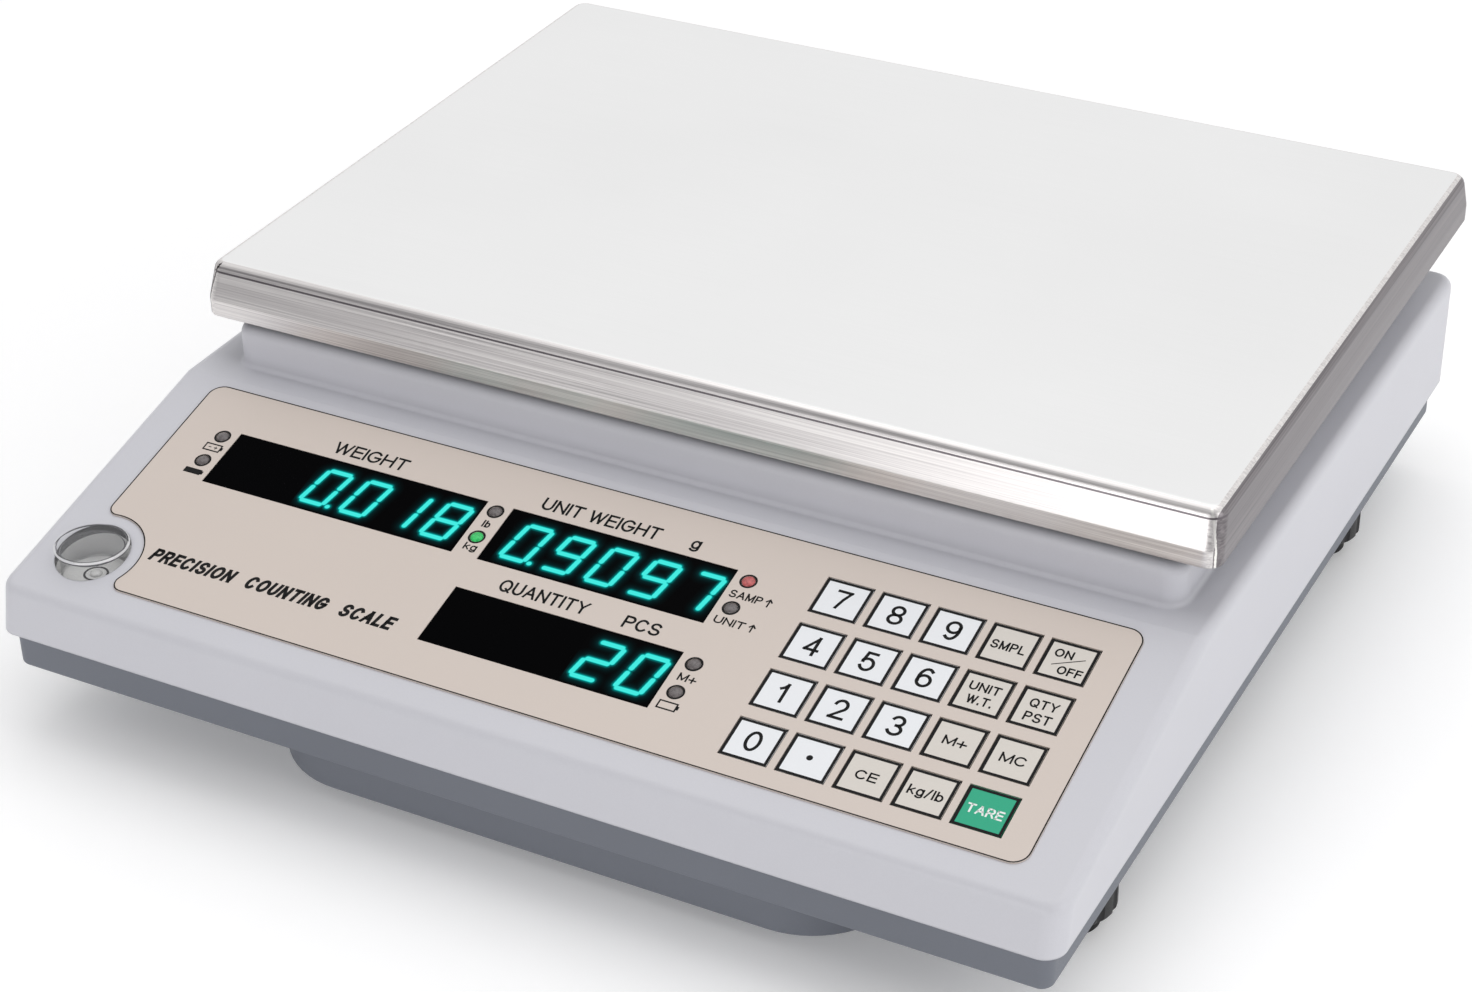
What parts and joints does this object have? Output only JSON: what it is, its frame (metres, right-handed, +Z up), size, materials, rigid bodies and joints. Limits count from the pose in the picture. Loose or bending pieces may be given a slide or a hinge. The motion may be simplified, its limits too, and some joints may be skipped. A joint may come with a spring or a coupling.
{
  "type": "counting scale",
  "caption": "Bench counting scale: wedge-shaped plastic casing with number displays, a keypad and a level, and a steel platter on a load cell.",
  "frame": {"origin": "middle of the overall bounding box at the floor the feet stand on", "axes": "+X to the user's right, -Y towards the user, +Z up"},
  "size_m": [0.3457, 0.3532, 0.106],
  "materials": {
    "cover_grey": "fine moulded texture",
    "base_grey": "fine moulded texture",
    "overlay_beige": "printed polyester film",
    "window_black": "smoked",
    "key_white": "satin",
    "key_beige": "satin",
    "key_green": "satin",
    "circuit_green": "solder mask",
    "dome_steel": "bright",
    "digit_black": "display face",
    "led_clear": "diffused lens",
    "vial_clear": "clear acrylic",
    "cup_white": "moulded",
    "platter_steel": "brushed stainless",
    "cast_grey": "die cast",
    "cell_aluminium": "machined",
    "chassis_steel": "black powder coat",
    "screw_zinc": "zinc plated",
    "cushion_rubber": "matt",
    "core_steel": "laminated",
    "battery_black": "moulded",
    "inlet_black": "moulded",
    "rocker_black": "glossy",
    "cable_grey": "sheathed cable",
    "insert_brass": "knurled",
    "foot_black": "moulded",
    "pad_rubber": "matt"
  },
  "bodies": {
    "casing": {"base_pan": "base_grey", "top_cover": "cover_grey", "control_overlay": "overlay_beige", "weight_window": "window_black", "unit_weight_window": "window_black", "quantity_window": "window_black", "keypad_board": "circuit_green", "key_domes": "dome_steel", "display_board": "circuit_green", "digit_modules": "digit_black", "indicator_leds": "led_clear", "level_vial": "vial_clear", "level_cup": "cup_white", "load_cell": "cell_aluminium", "load_cell_screws": "screw_zinc", "load_cell_cable": "cable_grey", "chassis": "chassis_steel", "overload_stop": "screw_zinc", "main_board": "circuit_green", "board_screws": "screw_zinc", "transformer": "core_steel", "battery": "battery_black", "battery_door": "base_grey", "power_inlet": "inlet_black", "switch_body": "inlet_black", "case_screws": "screw_zinc", "foot_inserts": "insert_brass"},
    "platform": {"platter_spider": "cast_grey", "spider_screws": "screw_zinc", "platter_cushions": "cushion_rubber"},
    "platter": {"weighing_platter": "platter_steel"},
    "rocker": {"switch_rocker": "rocker_black"},
    "key_0": {"key_0": "key_white"},
    "key_1": {"key_1": "key_white"},
    "key_2": {"key_2": "key_white"},
    "key_3": {"key_3": "key_white"},
    "key_4": {"key_4": "key_white"},
    "key_5": {"key_5": "key_white"},
    "key_6": {"key_6": "key_white"},
    "key_7": {"key_7": "key_white"},
    "key_8": {"key_8": "key_white"},
    "key_9": {"key_9": "key_white"},
    "key_point": {"key_point": "key_white"},
    "key_clear_entry": {"key_clear_entry": "key_beige"},
    "key_unit_switch": {"key_unit_switch": "key_beige"},
    "key_tare": {"key_tare": "key_green"},
    "key_memory_add": {"key_memory_add": "key_beige"},
    "key_memory_clear": {"key_memory_clear": "key_beige"},
    "key_sample": {"key_sample": "key_beige"},
    "key_unit_weight": {"key_unit_weight": "key_beige"},
    "key_quantity_preset": {"key_quantity_preset": "key_beige"},
    "key_power": {"key_power": "key_beige"},
    "foot_pad_front_left": {"foot_pad_front_left": "pad_rubber"},
    "foot_knob_front_left": {"foot_knob_front_left": "foot_black"},
    "foot_pad_front_right": {"foot_pad_front_right": "pad_rubber"},
    "foot_knob_front_right": {"foot_knob_front_right": "foot_black"},
    "foot_pad_back_left": {"foot_pad_back_left": "pad_rubber"},
    "foot_knob_back_left": {"foot_knob_back_left": "foot_black"},
    "foot_pad_back_right": {"foot_pad_back_right": "pad_rubber"},
    "foot_knob_back_right": {"foot_knob_back_right": "foot_black"}
  },
  "joints": [
    {"name": "platform_give", "type": "slide", "parent": "casing", "child": "platform", "axis": [0, 0, -1], "range_m": [0, 0.0004], "stiffness_N_per_m": 150000, "springref_m": -0.0001, "deforming": ["load_cell"]},
    {"name": "platter_lift", "type": "slide", "parent": "platform", "child": "platter", "axis": [0, 0, 1], "range_m": [0, 0.04]},
    {"name": "rocker_tilt", "type": "hinge", "parent": "casing", "child": "rocker", "pos_m": [0.1565, -0.013, 0.0226], "axis": [1, 0, 0], "range_deg": [-18, 0]},
    {"name": "key_0_press", "type": "slide", "parent": "casing", "child": "key_0", "axis": [0, 0.2317, -0.9728], "range_m": [0, 0.0004], "stiffness_N_per_m": 3000, "springref_m": -0.0003},
    {"name": "key_1_press", "type": "slide", "parent": "casing", "child": "key_1", "axis": [0, 0.2317, -0.9728], "range_m": [0, 0.0004], "stiffness_N_per_m": 3000, "springref_m": -0.0003},
    {"name": "key_2_press", "type": "slide", "parent": "casing", "child": "key_2", "axis": [0, 0.2317, -0.9728], "range_m": [0, 0.0004], "stiffness_N_per_m": 3000, "springref_m": -0.0003},
    {"name": "key_3_press", "type": "slide", "parent": "casing", "child": "key_3", "axis": [0, 0.2317, -0.9728], "range_m": [0, 0.0004], "stiffness_N_per_m": 3000, "springref_m": -0.0003},
    {"name": "key_4_press", "type": "slide", "parent": "casing", "child": "key_4", "axis": [0, 0.2317, -0.9728], "range_m": [0, 0.0004], "stiffness_N_per_m": 3000, "springref_m": -0.0003},
    {"name": "key_5_press", "type": "slide", "parent": "casing", "child": "key_5", "axis": [0, 0.2317, -0.9728], "range_m": [0, 0.0004], "stiffness_N_per_m": 3000, "springref_m": -0.0003},
    {"name": "key_6_press", "type": "slide", "parent": "casing", "child": "key_6", "axis": [0, 0.2317, -0.9728], "range_m": [0, 0.0004], "stiffness_N_per_m": 3000, "springref_m": -0.0003},
    {"name": "key_7_press", "type": "slide", "parent": "casing", "child": "key_7", "axis": [0, 0.2317, -0.9728], "range_m": [0, 0.0004], "stiffness_N_per_m": 3000, "springref_m": -0.0003},
    {"name": "key_8_press", "type": "slide", "parent": "casing", "child": "key_8", "axis": [0, 0.2317, -0.9728], "range_m": [0, 0.0004], "stiffness_N_per_m": 3000, "springref_m": -0.0003},
    {"name": "key_9_press", "type": "slide", "parent": "casing", "child": "key_9", "axis": [0, 0.2317, -0.9728], "range_m": [0, 0.0004], "stiffness_N_per_m": 3000, "springref_m": -0.0003},
    {"name": "key_point_press", "type": "slide", "parent": "casing", "child": "key_point", "axis": [0, 0.2317, -0.9728], "range_m": [0, 0.0004], "stiffness_N_per_m": 3000, "springref_m": -0.0003},
    {"name": "key_clear_entry_press", "type": "slide", "parent": "casing", "child": "key_clear_entry", "axis": [0, 0.2317, -0.9728], "range_m": [0, 0.0004], "stiffness_N_per_m": 3000, "springref_m": -0.0003},
    {"name": "key_unit_switch_press", "type": "slide", "parent": "casing", "child": "key_unit_switch", "axis": [0, 0.2317, -0.9728], "range_m": [0, 0.0004], "stiffness_N_per_m": 3000, "springref_m": -0.0003},
    {"name": "key_tare_press", "type": "slide", "parent": "casing", "child": "key_tare", "axis": [0, 0.2317, -0.9728], "range_m": [0, 0.0004], "stiffness_N_per_m": 3000, "springref_m": -0.0003},
    {"name": "key_memory_add_press", "type": "slide", "parent": "casing", "child": "key_memory_add", "axis": [0, 0.2317, -0.9728], "range_m": [0, 0.0004], "stiffness_N_per_m": 3000, "springref_m": -0.0003},
    {"name": "key_memory_clear_press", "type": "slide", "parent": "casing", "child": "key_memory_clear", "axis": [0, 0.2317, -0.9728], "range_m": [0, 0.0004], "stiffness_N_per_m": 3000, "springref_m": -0.0003},
    {"name": "key_sample_press", "type": "slide", "parent": "casing", "child": "key_sample", "axis": [0, 0.2317, -0.9728], "range_m": [0, 0.0004], "stiffness_N_per_m": 3000, "springref_m": -0.0003},
    {"name": "key_unit_weight_press", "type": "slide", "parent": "casing", "child": "key_unit_weight", "axis": [0, 0.2317, -0.9728], "range_m": [0, 0.0004], "stiffness_N_per_m": 3000, "springref_m": -0.0003},
    {"name": "key_quantity_preset_press", "type": "slide", "parent": "casing", "child": "key_quantity_preset", "axis": [0, 0.2317, -0.9728], "range_m": [0, 0.0004], "stiffness_N_per_m": 3000, "springref_m": -0.0003},
    {"name": "key_power_press", "type": "slide", "parent": "casing", "child": "key_power", "axis": [0, 0.2317, -0.9728], "range_m": [0, 0.0004], "stiffness_N_per_m": 3000, "springref_m": -0.0003},
    {"name": "foot_front_left_travel", "type": "slide", "parent": "casing", "child": "foot_pad_front_left", "axis": [0, 0, -1], "range_m": [-0.00125, 0.00375]},
    {"name": "foot_front_left_turn", "type": "hinge", "parent": "foot_pad_front_left", "child": "foot_knob_front_left", "pos_m": [-0.1525, -0.1175, 0.011], "axis": [0, 0, -1], "range_deg": [-360, 1080]},
    {"name": "foot_front_right_travel", "type": "slide", "parent": "casing", "child": "foot_pad_front_right", "axis": [0, 0, -1], "range_m": [-0.00125, 0.00375]},
    {"name": "foot_front_right_turn", "type": "hinge", "parent": "foot_pad_front_right", "child": "foot_knob_front_right", "pos_m": [0.1525, -0.1175, 0.011], "axis": [0, 0, -1], "range_deg": [-360, 1080]},
    {"name": "foot_back_left_travel", "type": "slide", "parent": "casing", "child": "foot_pad_back_left", "axis": [0, 0, -1], "range_m": [-0.00125, 0.00375]},
    {"name": "foot_back_left_turn", "type": "hinge", "parent": "foot_pad_back_left", "child": "foot_knob_back_left", "pos_m": [-0.1525, 0.0975, 0.011], "axis": [0, 0, -1], "range_deg": [-360, 1080]},
    {"name": "foot_back_right_travel", "type": "slide", "parent": "casing", "child": "foot_pad_back_right", "axis": [0, 0, -1], "range_m": [-0.00125, 0.00375]},
    {"name": "foot_back_right_turn", "type": "hinge", "parent": "foot_pad_back_right", "child": "foot_knob_back_right", "pos_m": [0.1525, 0.0975, 0.011], "axis": [0, 0, -1], "range_deg": [-360, 1080]}
  ],
  "couplings": [
    {"joint": "foot_front_left_turn", "follows": "foot_front_left_travel", "rad_per_m": 5026.5},
    {"joint": "foot_front_right_turn", "follows": "foot_front_right_travel", "rad_per_m": 5026.5},
    {"joint": "foot_back_left_turn", "follows": "foot_back_left_travel", "rad_per_m": 5026.5},
    {"joint": "foot_back_right_turn", "follows": "foot_back_right_travel", "rad_per_m": 5026.5}
  ]
}
